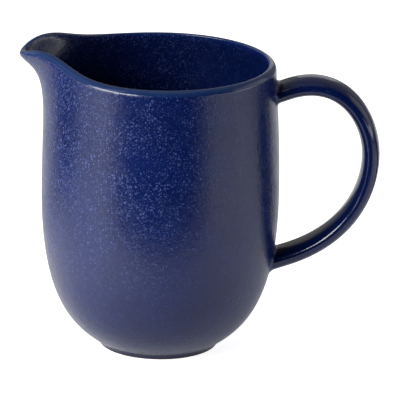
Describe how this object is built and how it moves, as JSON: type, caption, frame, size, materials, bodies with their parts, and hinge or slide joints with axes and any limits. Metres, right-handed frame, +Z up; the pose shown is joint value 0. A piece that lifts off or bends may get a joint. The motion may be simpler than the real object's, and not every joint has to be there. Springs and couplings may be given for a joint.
{
  "type": "ceramic pitcher",
  "caption": "Round-bellied glazed stoneware pitcher with a pulled pouring lip, a looped strap handle and a low foot ring.",
  "frame": {"origin": "centre of the foot ring, on the plane that the pitcher rests on", "axes": "+Z up; the pouring lip points along -X and the handle along +X; the XZ plane is the plane of symmetry"},
  "size_m": [0.2076, 0.137, 0.1784],
  "materials": {
    "glaze": "satin navy blue reactive glaze with fine pale speckles, inside and out",
    "glazed_slip": "the same satin navy glaze over smoothed slip",
    "foot": "navy glaze on the sides, bare fired clay on the resting face"
  },
  "bodies": {
    "root": {"body": "glaze", "foot_ring": "foot", "handle": "glaze", "upper_slip_joint": "glazed_slip", "lower_slip_joint": "glazed_slip"}
  },
  "joints": []
}
